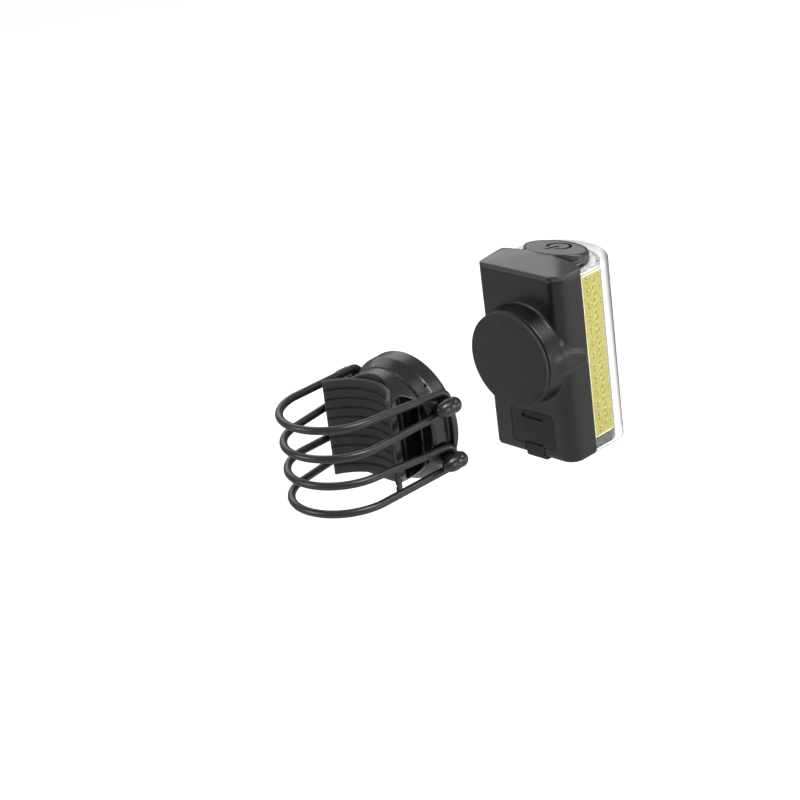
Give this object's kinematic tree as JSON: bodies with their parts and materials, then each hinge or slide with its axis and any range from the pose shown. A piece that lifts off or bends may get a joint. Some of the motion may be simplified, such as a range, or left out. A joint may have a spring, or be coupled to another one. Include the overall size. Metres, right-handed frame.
{
  "type": "bicycle headlight",
  "caption": "Boxy bicycle headlight with a wrap-round clear lens; its swivelling magnetic puck drops into a round dish on a tube saddle that rubber rings hold.",
  "frame": {"origin": "on the axis of the tube that the saddle clamps to, at the height of the puck's axis", "axes": "+Z along the tube, upwards as the light stands in the picture; +X from the tube through the dish to the light; +Y completes the right-handed frame"},
  "size_m": [0.1364, 0.0518, 0.0701],
  "materials": {
    "bracket_plastic": "gloss black",
    "pad_rubber": "matte",
    "ring_rubber": "satin",
    "screw_steel": "zinc plated",
    "magnet_nickel": "nickel plated",
    "liner_rubber": "fine texture",
    "puck_plastic": "fine texture",
    "plate_steel": "plain",
    "housing_plastic": "satin",
    "cap_plastic": "gloss",
    "button_rubber": "satin",
    "lens_clear": "polished, clear",
    "gasket_rubber": "matte",
    "carrier_plastic": "matte",
    "lamp_board": "white solder mask",
    "phosphor_silicone": "satin",
    "reflector_plastic": "white, satin",
    "circuit_board": "green solder mask",
    "chip_epoxy": "matte",
    "cell_wrap": "printed-free plastic wrap over a steel can",
    "tab_nickel": "nickel strip",
    "switch_plastic": "matte",
    "plunger_plastic": "matte",
    "socket_steel": "stamped",
    "tongue_plastic": "matte",
    "flap_rubber": "satin"
  },
  "bodies": {
    "bracket": {"saddle_block": "bracket_plastic", "saddle_pad": "pad_rubber", "seat_dish": "bracket_plastic", "dish_screws": "screw_steel", "seat_magnet": "magnet_nickel", "seat_liner": "liner_rubber", "o_ring_upper": "ring_rubber", "o_ring_lower": "ring_rubber"},
    "puck": {"puck_cover": "puck_plastic", "puck_magnet": "magnet_nickel", "puck_plate": "plate_steel", "swivel_screw": "screw_steel"},
    "light": {"swivel_washer": "plate_steel", "rear_shell": "housing_plastic", "top_cap": "cap_plastic", "lens": "lens_clear", "lens_gasket": "gasket_rubber", "led_carrier": "carrier_plastic", "cob_board": "lamp_board", "cob_phosphor": "phosphor_silicone", "reflector_plate": "reflector_plastic", "main_pcb": "circuit_board", "pcb_parts": "chip_epoxy", "pcb_screws": "screw_steel", "battery": "cell_wrap", "battery_tabs": "tab_nickel", "switch_board": "circuit_board", "tact_switch": "switch_plastic", "usb_socket": "socket_steel", "usb_tongue": "tongue_plastic", "flap_root": "flap_rubber"},
    "flap": {"port_flap": "flap_rubber"},
    "button": {"power_button": "button_rubber", "switch_plunger": "plunger_plastic"}
  },
  "joints": [
    {"name": "dock_slide", "type": "slide", "parent": "bracket", "child": "puck", "axis": [1, 0, 0], "range_m": [-0.0486, 0]},
    {"name": "light_swivel", "type": "hinge", "parent": "puck", "child": "light", "pos_m": [0.08, 0, 0], "axis": [1, 0, 0], "continuous": true},
    {"name": "button_press", "type": "slide", "parent": "light", "child": "button", "axis": [0, 0, -1], "range_m": [0, 0.0006], "stiffness_N_per_m": 2000},
    {"name": "flap_hinge", "type": "hinge", "parent": "light", "child": "flap", "pos_m": [0.08475, 0, -0.0369], "axis": [0, -1, 0], "range_deg": [0, 120]}
  ]
}
